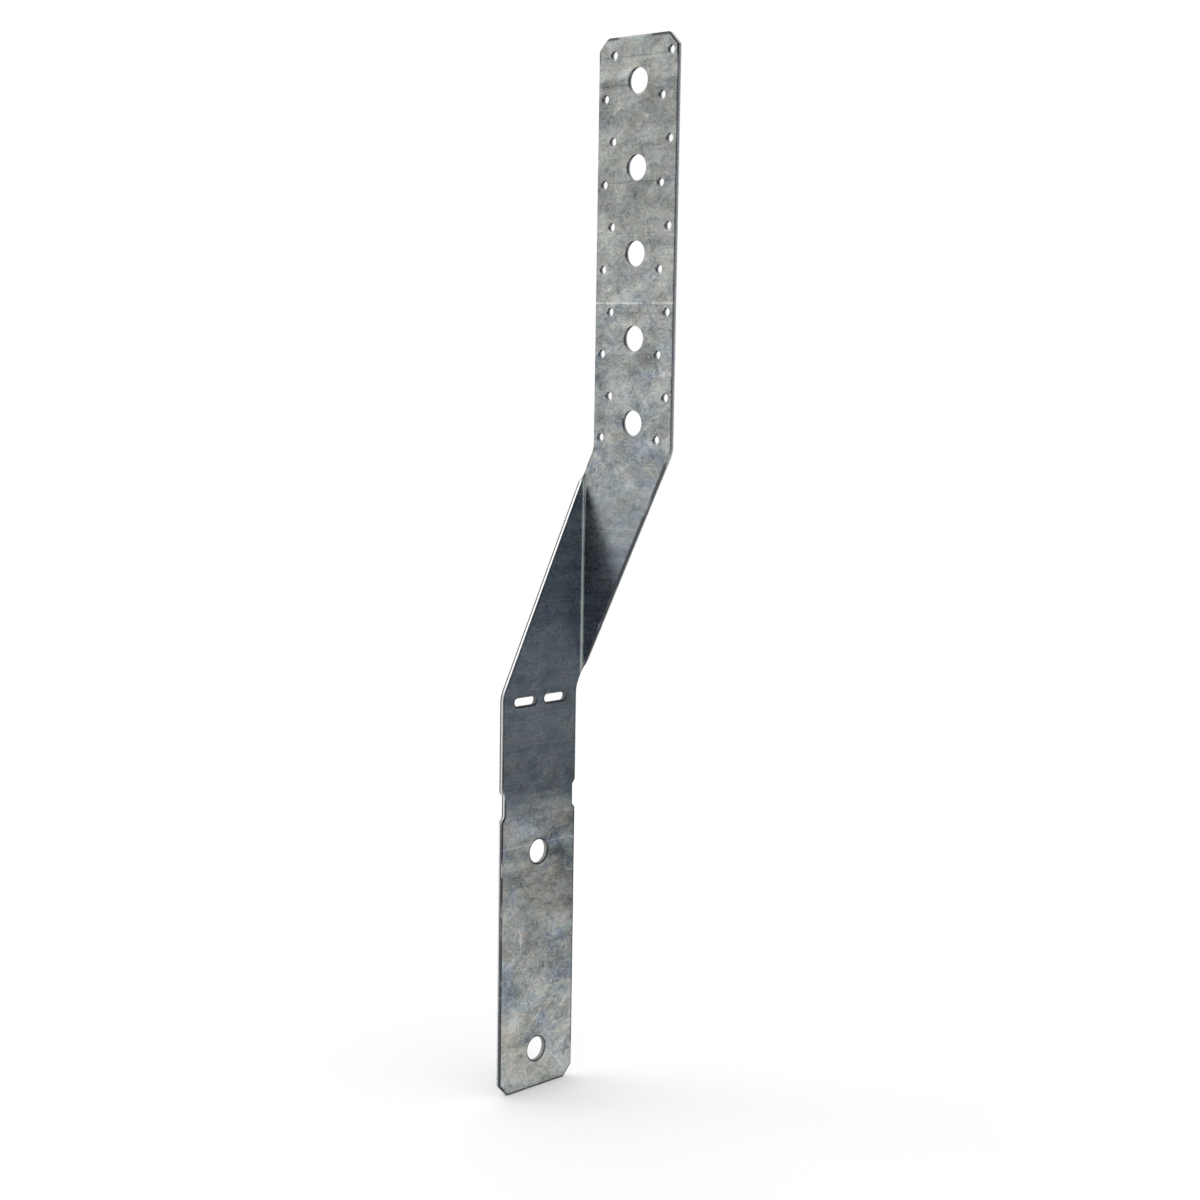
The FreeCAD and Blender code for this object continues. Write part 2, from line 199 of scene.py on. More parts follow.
# %% [markdown]
# A hole's wall and the strap's own cut edge age differently, so the points are told apart. Each
# takes the lowest number found on its loop. It first looks one point ahead, then two, four and
# so on, so a few rounds go all the way round even the longest loop.

# %% The strap's own outline
lowest, jump = np.arange(len(outline)), following_point
for _ in range(int(np.log2(len(outline))) + 1):
    lowest, jump = np.minimum(lowest, lowest[jump]), jump[jump]
own_outline = lowest == lowest[np.argmax(outline[:, 1])]
print("outlines:", len(np.unique(lowest)), "points on the strap's own:", int(own_outline.sum()))

# %% [markdown]
# ## The rim's profile
#
# A punch first drags the zinc over the edge, then cuts an upright band, and at last tears
# through at a slant. So the side it enters has a rolled rim, wider than it is deep, and the
# other side is nearly sharp and lies a little further in. The profile goes from the visible face
# over the rolled rim, down the cut band and the torn slant and round to the back. It is carried
# along every outline at once, as rings of points that are set in from the outline and sunk into
# the sheet. Each ring's tilt says which way its surface faces: 0 is out of the visible face, a
# quarter turn is straight out of the wall, and a half turn is out of the back.

# %% Rings round every outline
ROLL_WIDTH, ROLL_DEPTH, BACK_ROUND, ROUND_STEPS = 1.1 * MM, 0.4 * MM, 0.12 * MM, 5
BAND_DEPTH, TEAR_SET_IN, BAND_END = 1.5 * MM, 0.25 * MM, 0.1 * MM

sweep = np.linspace(0, QUARTER, ROUND_STEPS + 1)
tear_angle = np.arctan2(TEAR_SET_IN, SHEET - BAND_DEPTH)
roll_tilt = np.arctan2(ROLL_DEPTH * np.sin(sweep), ROLL_WIDTH * np.cos(sweep))
back_tilt = np.linspace(QUARTER + tear_angle, 2 * QUARTER, ROUND_STEPS + 1)
ring_tilt = np.concatenate([roll_tilt, [QUARTER], back_tilt[:1], back_tilt, [2 * QUARTER]])
ring_set_in = np.concatenate([ROLL_WIDTH * (1 - np.sin(sweep)),
                              [0, BAND_END * np.tan(tear_angle)],
                              TEAR_SET_IN + BACK_ROUND * (np.sin(back_tilt[0]) - np.sin(back_tilt)),
                              [ROLL_WIDTH]])
ring_depth = np.concatenate([ROLL_DEPTH * (1 - np.cos(sweep)),
                             [BAND_DEPTH, BAND_DEPTH + BAND_END],
                             SHEET - BACK_ROUND * (1 + np.cos(back_tilt)),
                             [SHEET]])
rings = len(ring_tilt)
WALL_RINGS = slice(ROUND_STEPS, ROUND_STEPS + 3)
print("profile, set in and deep, mm:", (np.column_stack([ring_set_in, ring_depth]) / MM).round(2).tolist())

# %% [markdown]
# ## Filling the faces
#
# Both faces of the blank are the same outline, so one flat net serves for both. It gets a grid
# of points inside, closer together across the bend. What is inside is found by counting how
# often a line to the right of each place crosses an outline: an odd count is metal.

# %% Grid inside the outlines
GRID_STEP, BEND_STEPS, CLEAR_OF_RIM, GAP_PARTS = 4.0 * MM, 12, 1.2 * MM, 8

def inside(places, ring, after):
    """Whether a line from each place to the right crosses the closed outlines an odd number of times."""
    (x, y), (ax, ay), (bx, by) = (p.T[:, :, None] for p in (places, ring, ring[after]))
    ax, ay, bx, by = ax.T, ay.T, bx.T, by.T
    spans = (ay <= y) != (by <= y)
    rise = np.where(spans, by - ay, 1.0)
    return (spans & (x < ax + (y - ay) * (bx - ax) / rise)).sum(1) % 2 == 1

low, high = outline.min(0), outline.max(0)
bend_end = BEND_X - BEND_LAYER * QUARTER
columns = np.concatenate([np.arange(BEND_X, high[0], GRID_STEP)[1:],
                          np.linspace(bend_end, BEND_X, BEND_STEPS + 1),
                          np.arange(bend_end, low[0], -GRID_STEP)[1:]])
grid = np.stack(np.meshgrid(columns, np.arange(low[1], high[1], GRID_STEP)), -1).reshape(-1, 2)
inner = outline + inward * ROLL_WIDTH
grid = grid[inside(grid, inner, following_point)]
gap = np.concatenate([np.sqrt(((part[:, None] - inner) ** 2).sum(-1)).min(1)
                      for part in np.array_split(grid, GAP_PARTS)])
grid = grid[gap > CLEAR_OF_RIM]
print("grid points:", len(grid))

# %% [markdown]
# Triangles between the points could be made row by row, but the holes would spoil the rows.
# Blender's constrained triangulation joins any points without crossing an outline. It fills the
# holes too, and leaves a few slivers with no area, so both are thrown out afterwards.

# %% Net of the blank
NEGLIGIBLE, SLIVER_AREA = 1e-9, (0.01 * MM) ** 2
net_in = np.vstack([inner, grid])
ties = np.column_stack([np.arange(len(inner)), following_point])
_, _, net_faces, came_from, _, _ = delaunay_2d_cdt(net_in.tolist(), ties.tolist(), [], 0, NEGLIGIBLE)
order = np.array([c[0] for c in came_from])
net_triangles = order[np.array(net_faces)]
side_a, side_b = (net_in[net_triangles[:, k]] - net_in[net_triangles[:, 0]] for k in (1, 2))
area = np.abs(side_a[:, 0] * side_b[:, 1] - side_a[:, 1] * side_b[:, 0])
net_triangles = net_triangles[area >= SLIVER_AREA]
net_triangles = net_triangles[inside(net_in[net_triangles].mean(1), inner, following_point)]
print("net:", len(net_in), "points,", len(net_triangles), "triangles")

# %% [markdown]
# ## Folding the blank
#
# A sheet from a coil is never quite flat. A few long, very shallow waves, a tenth of a
# millimetre high at most, bend the reflections as a real sheet does. They run mostly across the
# strap, and only lift the sheet towards the open side of the fold, so the strap stays inside
# its drawn size.

# %% Waves in the sheet
WAVES, WAVE_HEIGHT, SHORTEST_MM, LONGEST_MM, WAYS_APART = 14, 0.09 * MM, 18, 70, 0.5
dice = np.random.default_rng(7)
wave_length = dice.uniform(SHORTEST_MM, LONGEST_MM, WAVES) * MM
wave_way = dice.normal(QUARTER, WAYS_APART, WAVES)
wave_start = dice.uniform(0, 2 * math.pi, WAVES)
wave_turns = 2 * math.pi / wave_length[:, None] * np.column_stack([np.cos(wave_way), np.sin(wave_way)])

def waviness(places):
    """The mean of the waves at each place, from 0 to full height, and its slope across and along."""
    phase = places @ wave_turns.T + wave_start
    slope = WAVE_HEIGHT * 0.5 * (np.cos(phase) @ wave_turns) / WAVES
    return WAVE_HEIGHT * (0.5 + 0.5 * np.sin(phase).mean(1)), slope

print("waves, mm long:", (wave_length / MM).round().astype(int).tolist())

# %% [markdown]
# Then the fold itself: angles round the bend come from the place across, the radius from the
# depth. A folded sheet springs open by a few degrees. The drawing keeps the fold square, so
# every point keeps its square place, and only the direction that it faces, which decides what
# it mirrors, is turned back by the spring.

# %% Fold
SPRING = math.radians(5.0)

def fold(blank, facing):
    """Where each place of the blank comes to lie, and which way its surface faces there.
    Past the bend line, the angle is the distance divided by the kept layer's radius, up to a quarter."""
    height, slope = waviness(blank[:, :2])
    across, along = blank[:, 0], blank[:, 1]
    radius = BEND_INSIDE + blank[:, 2] - height
    angle = np.clip((BEND_X - across) / BEND_LAYER, 0, QUARTER)
    past_upper, past_lower = np.clip(across - BEND_X, 0, None), np.clip(bend_end - across, 0, None)
    placed = np.column_stack([BEND_X - np.sin(angle) * radius + past_upper,
                              BEND_Y + np.cos(angle) * radius - past_lower, along])
    facing = facing + np.column_stack([slope * facing[:, 2:], np.zeros(len(facing))])
    sprung = angle * (1 - SPRING / QUARTER)
    left, ahead = np.sin(sprung), np.cos(sprung)
    turned = np.column_stack([facing[:, 0] * ahead - facing[:, 2] * left,
                              facing[:, 0] * left + facing[:, 2] * ahead, facing[:, 1]])
    return placed, turned / np.linalg.norm(turned, axis=1)[:, None]

corner, corner_ways = fold(np.array([[*low, 0.0]]), np.array([[0.0, 0.0, -1.0]]))
print("the blank's low corner comes to", (corner[0] / MM).round(1), "mm and faces", corner_ways[0].round(2))

# %% [markdown]
# All points now go into one list: the rings, then the grid points of the front and of the back.
# The direction that each point faces is known from the profile, so it is worked out as well.

# %% The folded strap's points
ring_points = len(outline)
ring_places = outline[None] + inward[None] * ring_set_in[:, None, None]
ring_ways = -inward[None] * np.sin(ring_tilt)[:, None, None]
blank = np.vstack([
    np.column_stack([ring_places.reshape(-1, 2), np.repeat(ring_depth, ring_points)]),
    np.column_stack([grid, np.zeros(len(grid))]),
    np.column_stack([grid, np.full(len(grid), SHEET)])])
facing = np.vstack([
    np.column_stack([ring_ways.reshape(-1, 2), -np.repeat(np.cos(ring_tilt), ring_points)]),
    np.tile([0.0, 0, -1], (len(grid), 1)),
    np.tile([0.0, 0, 1], (len(grid), 1))])
places, ways = fold(blank, facing)
print("points:", len(places), "of them on rings:", rings * ring_points)

# %% [markdown]
# The net's numbers count the outline and then the grid, so each side's triangles are the net's
# with the numbers moved to where that side's points are in the list. Four-sided faces join each
# ring to the next. The three between the rolled rim and the back's rounding are the cut wall.

# %% The folded strap's faces
back_ring = (rings - 1) * ring_points
front = net_triangles + (net_triangles >= ring_points) * back_ring
back = net_triangles + back_ring + (net_triangles >= ring_points) * len(grid)
here, then = np.arange(ring_points), following_point
between_rings = np.column_stack([here, here + ring_points, then + ring_points, then])
ring_quads = np.stack([between_rings + k * ring_points for k in range(rings - 1)])
wall_quads = np.zeros(ring_quads.shape[:2], dtype=bool)
wall_quads[WALL_RINGS] = True
cut = np.concatenate([np.zeros(len(front) + len(back), dtype=bool), wall_quads.ravel()])
print("faces:", len(cut), "of them cut wall:", int(cut.sum()))

# %% [markdown]
# The directions are given to Blender with the mesh, so the flats stay flat in the light right up
# to their rims. Three values go with each point for the finishes to read: its place on the
# blank, how far up a rolled rim it is, and whether it is on a punched hole.

# %% The folded strap
mesh = bpy.data.meshes.new("galvanised_strap")
mesh.from_pydata(places, [], [*front.tolist(), *back[:, ::-1].tolist(), *ring_quads.reshape(-1, 4).tolist()])
mesh.polygons.foreach_set("use_smooth", np.ones(len(mesh.polygons), dtype=bool))
mesh.normals_split_custom_set_from_vertices(ways.tolist())
on_faces = np.zeros(2 * len(grid))
rim = np.concatenate([np.repeat(1 - ring_set_in / ROLL_WIDTH, ring_points), on_faces])
punched = np.concatenate([np.tile(~own_outline, rings), on_faces])
stored = {"blank": ("FLOAT_VECTOR", "vector", blank), "rim": ("FLOAT", "value", rim),
          "punched": ("FLOAT", "value", punched)}
for name, (kind, field, values) in stored.items():
    mesh.attributes.new(name, kind, "POINT").data.foreach_set(field, values.astype(np.float32).ravel())
strap = bpy.data.objects.new("galvanised_strap", mesh)
bpy.context.scene.collection.objects.link(strap)
print("strap:", len(mesh.vertices), "points,", len(mesh.polygons), "faces, values:", sorted(stored))

# %% [markdown]
# ## Colours and nodes
#
# Colours are picked as they look on a screen, in hex, and Blender works in linear light, so one
# function turns one into the other. A second function adds any node with its settings and its
# inputs, which keeps the material cells short enough to read as recipes. A node's sockets go by
# name, or by number where names repeat. A Mix node takes its share at 0, two values at 2 and 3
# or two colours at 6 and 7, and gives the mixed value at 0 or the mixed colour at 2.

# %% Helpers for materials
LINEAR_PART, LINEAR_SLOPE, POWER_OFFSET, POWER = 0.04045, 12.92, 0.055, 2.4

def linear(hex_colour):
    """Turns an sRGB hex value into linear light, with full opacity."""
    parts = [int(hex_colour[i:i + 2], 16) / 255 for i in (1, 3, 5)]
    return [p / LINEAR_SLOPE if p <= LINEAR_PART else ((p + POWER_OFFSET) / (1 + POWER_OFFSET)) ** POWER
            for p in parts] + [1.0]

def add(tree, kind, inputs=None, stops=None, **settings):
    """Adds a node. An input is a plain value, or a pair of a node and its output's name or number.
    Stops are the positions and values of a ramp."""
    made = tree.nodes.new(kind)
    for name, value in settings.items():
        setattr(made, name, value)
    for name, value in (inputs or {}).items():
        if isinstance(value, tuple) and isinstance(value[0], bpy.types.Node):
            tree.links.new(value[0].outputs[value[1]], made.inputs[name])
        else:
            made.inputs[name].default_value = value
    if stops:
        ramp = made.color_ramp
        while len(ramp.elements) < len(stops):
            ramp.elements.new(0.5)
        for element, (position, value) in zip(ramp.elements, stops):
            element.position = position
            element.color = linear(value) if isinstance(value, str) else (value, value, value, 1.0)
    return made

def new_material(name):
    """An empty material and its node tree."""
    made = bpy.data.materials.new(name)
    made.use_nodes = True
    made.node_tree.nodes.clear()
    return made, made.node_tree

print("mid zinc grey in linear light:", [round(c, 3) for c in linear("#979b97")])

# %% [markdown]
# ## Hot-dip galvanised sheet
#
# The coil ran through molten zinc, was levelled between rollers, and the blanks were then
# stacked, rubbed and handled. What that leaves is drawn with noises that read the place on the
# blank, so they run on round the fold. A noise lies around one half, so several are mixed by
# adding up how far each departs from it. Where a mark or a finish begins, a border turns the
# noise or the place into a share from 0 to 1, and shares are multiplied. These few recipes serve
# for both finishes, and always add to the node tree that is being made.

# %% Recipes for patterns
zinc, tree = new_material("hot_dip_galvanised_sheet")

def read_blank():
    """The place on the blank in this tree, whole and as its parts across, along and deep."""
    whole = add(tree, "ShaderNodeAttribute", attribute_name="blank"), "Vector"
    parts = add(tree, "ShaderNodeSeparateXYZ", {"Vector": whole})
    return whole, (parts, "X"), (parts, "Y"), (parts, "Z")

def spread(size_mm, stretch, turn, shift):
    """The place on the blank in units of size_mm, drawn out by the stretch across, along and deep,
    after a turn in degrees within the sheet. The shift gives each pattern a stretch of its own."""
    turned = add(tree, "ShaderNodeMapping", {"Vector": place, "Rotation": (0, 0, math.radians(turn))})
    scale = [1 / (size_mm * MM * way) for way in stretch]
    return add(tree, "ShaderNodeMapping", {"Vector": (turned, "Vector"), "Scale": scale,
                                           "Location": (shift, shift * 2, shift * 3)}), "Vector"

def pattern(size_mm, stretch=(1, 1, 1), turn=0.0, shift=0.0, detail=2.0, roughness=0.5, distortion=0.0):
    """A noise whose features measure about size_mm, drawn out and turned as spread says."""
    where = spread(size_mm, stretch, turn, shift)
    return add(tree, "ShaderNodeTexNoise", {"Vector": where, "Scale": 1.0, "Detail": detail,
                                            "Roughness": roughness, "Distortion": distortion}), "Fac"

def total(start, terms):
    """The start plus each pattern times its weight."""
    for source, weight in terms:
        start = add(tree, "ShaderNodeMath", {0: source, 1: weight, 2: start}, operation="MULTIPLY_ADD"), 0
    return start

def mix_tones(terms, middle=0.0):
    """The middle plus, for each pattern, how far it departs from one half, times its weight."""
    return total(middle - 0.5 * sum(weight for _, weight in terms), terms)

def product(made, *factors):
    """All the patterns multiplied together."""
    for factor in factors:
        made = add(tree, "ShaderNodeMath", {0: made, 1: factor}, operation="MULTIPLY"), 0
    return made

def past(source, *borders):
    """How far a pattern or place has come over each of the borders, multiplied together. A border is
    the pair of values at which the share starts from 0 and at which it is full, 1."""
    shares = [(add(tree, "ShaderNodeMapRange", {"Value": source, "From Min": start, "From Max": full}), 0)
              for start, full in borders]
    return product(*shares)

place, across, along, deep = read_blank()
print("nodes that read the blank:", len(tree.nodes))

# %% [markdown]
# Each thing to see on the sheet is one noise, scaled by its real size. Clouds and smears are
# where the zinc froze at different rates. Wet storage leaves stains. Bands and streaks lie
# across the strap, which is the way the coil ran, and rubs lie aslant. The real grain is about
# 0.3 mm, finer than a pixel of the photograph, so it is drawn at 0.9 mm to show at all. Two more
# noises carry colour, from blue-grey to beige and from greenish to pinkish.

# %% Galvanised sheet: patterns
clouds = pattern(13, (1.2, 1, 1), detail=4, roughness=0.55, distortion=0.5, shift=3)
smears = pattern(4.5, (1.3, 1, 1), detail=4, roughness=0.6, distortion=1.6, shift=11)
stains = pattern(30, (1.8, 1, 1), turn=25, detail=3, distortion=0.4, shift=17)
bands = pattern(6, (16, 1, 4), detail=3, roughness=0.6, shift=23)
streaks = pattern(1.2, (9, 1, 4), detail=2, shift=31)
slants = pattern(7, (4, 1, 1), turn=-38, detail=3, roughness=0.6, shift=37)
grain = pattern(0.9, (1.3, 1, 1), detail=2, roughness=0.65, shift=41)
hue = pattern(9, (1.7, 1, 1), detail=4, roughness=0.6, distortion=0.6, shift=53)
blush = pattern(7, (1.4, 1, 1), turn=-20, detail=3, roughness=0.6, shift=61)
broad_hue = pattern(24, (1.7, 1, 1), turn=28, detail=3, distortion=0.5, shift=83)
print("nodes with the patterns:", len(tree.nodes))

# %% [markdown]
# The strap doesn't look the same from end to end. Levelling left lighter and darker bands right
# across it, so its tone goes up and down with the height. On the lower leg the levels are partly
# painted reflection too: darker just above the notches, and paler towards the foot. Their heights
# and tones were chosen by setting one render after another beside the photograph. A ramp holds 32
# stops at most, so three ramps share the length, and where one ends near one half, the next
# takes over.
# A little noise makes the borders wander, and on the lower leg they also run slightly aslant.

# %% Galvanised sheet: levels along the strap
UPPER_LEVELS_MM = [
    (112, 0.54), (105, 0.54), (102, 0.58), (92, 0.62), (90, 0.59), (88.3, 0.47), (78, 0.44), (75, 0.45),
    (66, 0.49), (61, 0.56), (56, 0.52), (50, 0.52), (43, 0.57), (39.5, 0.54), (37, 0.45), (31, 0.42),
    (24, 0.46), (20, 0.50)]
MIDDLE_LEVELS_MM = [
    (20, 0.50), (14, 0.54), (10.5, 0.66), (7, 0.56), (3, 0.54), (1, 0.62), (-3, 0.54), (-9, 0.61),
    (-16, 0.58), (-21, 0.60), (-24.5, 0.64), (-28.5, 0.62), (-31, 0.50), (-35.5, 0.61), (-43, 0.52),
    (-52, 0.54), (-59, 0.55), (-63, 0.55), (-71, 0.62), (-77, 0.62), (-82, 0.55), (-91, 0.50),
    (-100, 0.57), (-110, 0.57), (-140, 0.51)]
# On the lower leg these levels are partly painted reflection: darker above the notches, paler towards the
# foot.
LOWER_LEVELS_MM = [
    (-145, 0.50), (-180, 0.45), (-215, 0.52), (-234, 0.50), (-246, 0.49), (-262, 0.46), (-278, 0.36),
    (-287, 0.36), (-293, 0.50), (-299, 0.58), (-303, 0.53), (-310, 0.61), (-319.5, 0.63), (-322, 0.50),
    (-330, 0.63), (-335, 0.53), (-339, 0.55), (-346, 0.59), (-353, 0.49), (-357, 0.66), (-361, 0.71),
    (-368, 0.64), (-388, 0.63), (-396, 0.69), (-406, 0.71), (-419, 0.77), (-424, 0.72), (-430, 0.68),
    (-434, 0.84), (-448, 0.84), (-452, 0.78)]
WANDER, SLOPE_DOWN, LOWER_MIDDLE = 3.0 * MM, 0.1, -65.5 * MM

borders = pattern(8, detail=3, roughness=0.6, shift=61)
wandering = total(along, [(mix_tones([(borders, 1.0)]), WANDER)])
aslant = total(wandering, [(across, SLOPE_DOWN), (-LOWER_MIDDLE, SLOPE_DOWN)])

def graded(stops_mm, position):
    """A value or a colour that runs between the given positions, which are listed from the highest down."""
    top, bottom = stops_mm[0][0], stops_mm[-1][0]
    stops = [((z - bottom) / (top - bottom), value) for z, value in reversed(stops_mm)]
    return add(tree, "ShaderNodeValToRGB", {"Fac": past(position, (bottom * MM, top * MM))}, stops), "Color"

leg_levels = [graded(UPPER_LEVELS_MM, wandering), graded(MIDDLE_LEVELS_MM, wandering),
              graded(LOWER_LEVELS_MM, aslant)]
print("levels along the strap:", len(UPPER_LEVELS_MM + MIDDLE_LEVELS_MM + LOWER_LEVELS_MM))

# %% [markdown]
# The rollers also left thin lines, light or dark, right across the strap. They are under a
# millimetre wide, too fine for a ramp's stops, so each comes from the height itself, where it
# is nearly that of the line. The smears break the lines up.

# %% Galvanised sheet: thin lines across
LINES_MM = [(101.5, -0.16), (86.9, -0.10), (37.0, -0.12), (9.4, 0.12), (-7.9, -0.06), (-25.9, 0.30),
            (-31.2, -0.12), (-53.4, -0.08), (-314.7, -0.08), (-317.3, 0.22), (-339.7, -0.14)]
LINE_HALF, LINE_WANDER, LINE_BREAKS = 0.45 * MM, 0.9 * MM, (0.2, 0.5)

def lines_across(lines_mm):
    """The sum of thin lines, each of which is its rise where the height is within half a line's width.
    The clouds shift the height a little, so the lines aren't quite straight."""
    height = total(along, [(mix_tones([(clouds, 1.0)]), LINE_WANDER)])
    lines = 0.0
    for z, rise in lines_mm:
        near = add(tree, "ShaderNodeMath", {0: height, 1: z * MM, 2: LINE_HALF}, operation="COMPARE")
        lines = total(lines, [((near, 0), rise)])
    return product(lines, past(smears, LINE_BREAKS))

levels = mix_tones([(level, 1) for level in [*leg_levels, lines_across(LINES_MM)]], 1.0)
print("lines across the strap:", len(LINES_MM))

# %% [markdown]
# Stains dry in rings, and sheets that rub in a stack leave curved scratches. Both come from cells
# of scattered centres: the distance to the nearest centre, folded up and down like a screen,
# gives sets of arcs, and a patchy noise keeps only short stretches of them. Long thin noises,
# turned a little, add straight scratches. Real scratches are about a tenth of a millimetre wide,
# and these are drawn at half a millimetre, so that they show.

# %% Galvanised sheet: arcs and scratches
ARC_BEND, ARC_PATCHES, RUBBED_ABOVE, SCORED_ABOVE = 0.5, (0.5, 0.62), (0.66, 0.74), (0.67, 0.75)

def arcs(cell_mm, spacing, width, turn, shift):
    """Curved lines round scattered centres. Spacing and width are shares of the cell's size. A noise
    of 0.6 of that size bends the lines, and another of half that size keeps them in patches."""
    uneven_way = pattern(cell_mm * 0.6, detail=1, shift=shift + 2)
    where = spread(cell_mm, (0.8, 1.5, 2), turn, shift)
    cells = add(tree, "ShaderNodeTexVoronoi", {"Vector": where, "Scale": 1.0})
    warped = total((cells, "Distance"), [(uneven_way, ARC_BEND)])
    folded = add(tree, "ShaderNodeMath", {0: warped, 1: spacing / 2}, operation="PINGPONG")
    kept_patches = past(pattern(cell_mm * 0.5, detail=2, shift=shift + 5), ARC_PATCHES)
    return product(past((folded, 0), (width, 0)), kept_patches)

pale_arcs = arcs(22, 0.42, 0.022, 10, 71)
dark_arcs = arcs(15, 0.36, 0.03, -25, 97)
rubbed = past(pattern(0.5, (1, 34, 4), turn=-14, detail=1, shift=113), RUBBED_ABOVE)
scored = past(pattern(0.5, (1, 30, 4), turn=52, detail=1, shift=127), SCORED_ABOVE)
print("nodes so far:", len(tree.nodes))

# %% [markdown]
# All of this adds up to one tone. A contrast that follows the height says how strongly the
# clouds and marks show. From the fold down to the notches the sheet stayed smooth, and there
# streaks take the place of grain and clouds. Below the notches it is frosted and stained, with
# a paler side. On the inner side of the fold, where the metal mirrors itself, the upper leg's half
# gets a painted shade and the lower leg's half a painted light.
# The arcs and scratches are 0 in most places, not around one half, so they are raised a little.

# %% Galvanised sheet: tone
CONTRASTS_MM = [(20, 1.0), (-20, 1.1), (-110, 1.2), (-150, 0.5), (-292, 0.5), (-302, 1.35), (-450, 1.4)]
MARKS_SHOW, MARKS_RAISED, SMOOTH_BELOW = (0.4, 1.4), 0.21, (1.0, 0.5)
STAINED_BETWEEN, PALE_SIDE_BETWEEN, PALE_SIDE = (-286 * MM, -304 * MM), (-400 * MM, -330 * MM), 0.3
FOLD_SHADING_APART, INNER_SIDE = 0.4, (0.6 * SHEET, 0.4 * SHEET)
FOLD_SHADING_MM = [(-150, 0), (-170, 0.45), (-185, 0.45), (-215, 1), (-250, 1), (-285, 0)]

contrast = graded(CONTRASTS_MM, wandering)
stained = past(along, STAINED_BETWEEN)
lower_side = past(across, (BEND_X, bend_end))
uneven = mix_tones([(clouds, 0.75), (smears, 0.75), (bands, 0.3), (streaks, 0.16), (slants, 0.35),
                    (grain, 0.65)])
marks = mix_tones([(pale_arcs, 0.45), (dark_arcs, -0.31), (rubbed, 0.2), (scored, 0.2)], MARKS_RAISED)
streaky = mix_tones([(bands, 0.35), (streaks, 0.3), (smears, 0.1), (grain, -0.22), (clouds, -0.15)])
pale_side = product(mix_tones([(past(across, (bend_end, low[0])), PALE_SIDE)]), stained)
# Painted shade on the upper leg's half of the fold and painted light on the lower leg's half, on the visible
# face only.
painted_fold_shading = product(mix_tones([(lower_side, FOLD_SHADING_APART)]), graded(FOLD_SHADING_MM, wandering),
                past(deep, INNER_SIDE))
tone = total(levels, [(uneven, contrast), (marks, past(contrast, MARKS_SHOW)),
                      (mix_tones([(stains, 0.75)]), stained), (pale_side, past(along, PALE_SIDE_BETWEEN)),
                      (painted_fold_shading, 1.0), (streaky, past(contrast, SMOOTH_BELOW))])
grey = add(tree, "ShaderNodeValToRGB", {"Fac": tone},
           [(0.0, "#565959"), (0.3, "#808382"), (0.5, "#9a9c99"), (0.7, "#b2b4b0"), (1.0, "#d4d5d0")])
print("nodes with the tone:", len(tree.nodes))

# %% [markdown]
# Zinc itself is a neutral grey, and its skin of oxide colours it: bluish where the skin is thin,
# beige where it has aged. So a tint from blue to beige is multiplied onto the grey, and a much
# fainter one from greenish to pinkish onto that. Inside the fold, the painted shade is also bluer
# and the painted light a little warmer.

# %% Galvanised sheet: tint
TINTS_MM = [(20, 0.52), (-30, 0.46), (-100, 0.38), (-160, 0.29), (-292, 0.29), (-300, 0.46), (-436, 0.47),
            (-450, 0.41)]
BLUE_TO_BEIGE = [(0.0, "#c8d8ff"), (0.08, "#dfe7ff"), (0.29, "#eef6ff"), (0.38, "#f7faff"), (0.5, "#fdfffe"),
                 (0.65, "#fffbf7"), (0.8, "#fffaf3"), (1.0, "#fff6e8")]
GREEN_TO_PINK = [(0.35, "#faffff"), (0.5, "#ffffff"), (0.65, "#fffafd")]
STAIN_TINT, BLUEST_OUTSIDE_FOLD, FOLD_LIT_WARMER, FOLD_SHADED_BLUER = 1.2, 0.08, 0.5, 1.4

stain_hue = product(mix_tones([(broad_hue, 1.0)]), stained)
tint_at = total(graded(TINTS_MM, wandering), [(mix_tones([(hue, 1.0), (smears, 0.25)]), contrast),
                                              (stain_hue, STAIN_TINT)])
tint_at = add(tree, "ShaderNodeMath", {0: tint_at, 1: BLUEST_OUTSIDE_FOLD}, operation="MAXIMUM")
# The painted shade in the fold is made bluer, and its painted light warmer.
painted_fold_tint = add(tree, "ShaderNodeMath", {0: product(painted_fold_shading, FOLD_LIT_WARMER), 1: product(painted_fold_shading, FOLD_SHADED_BLUER)},
              operation="MINIMUM")
tint = add(tree, "ShaderNodeValToRGB", {"Fac": total((tint_at, 0), [((painted_fold_tint, 0), 1.0)])}, BLUE_TO_BEIGE)
faint = add(tree, "ShaderNodeValToRGB", {"Fac": mix_tones([(blush, 1.0)], 0.5)}, GREEN_TO_PINK)
coloured = grey, "Color"
for wash in (tint, faint):
    coloured = add(tree, "ShaderNodeMix", {0: 1.0, 6: coloured, 7: (wash, "Color")}, data_type="RGBA",
                   blend_type="MULTIPLY"), 2
print("nodes with the tint:", len(tree.nodes))

# %% [markdown]
# A paler line runs down the inside of the bend: a painted highlight, where the curved metal
# catches the light. It comes from the distance to the bend's middle. Cubed, it fades out softly
# and not like a stripe.

# %% Galvanised sheet: painted highlight down the bend
BEND_MIDDLE, BEND_HALF, BEND_FADE = BEND_X - BEND_LAYER * QUARTER / 2, 0.4 * MM, 3.0 * MM
CREASE_HIGHLIGHT_PATCHES = (-0.2, 0.7)

from_bend = add(tree, "ShaderNodeMath", {0: total(-BEND_MIDDLE, [(across, 1.0)])}, operation="ABSOLUTE")
near_bend = past((from_bend, 0), (BEND_HALF + BEND_FADE, BEND_HALF))
painted_crease_highlight = product(near_bend, near_bend, near_bend, past(clouds, CREASE_HIGHLIGHT_PATCHES))
crease_highlighted = add(tree, "ShaderNodeMix", {0: painted_crease_highlight, 6: coloured, 7: linear("#c8cdc4")}, data_type="RGBA")
print("the bend's middle is at", round(BEND_MIDDLE / MM, 2), "mm across")
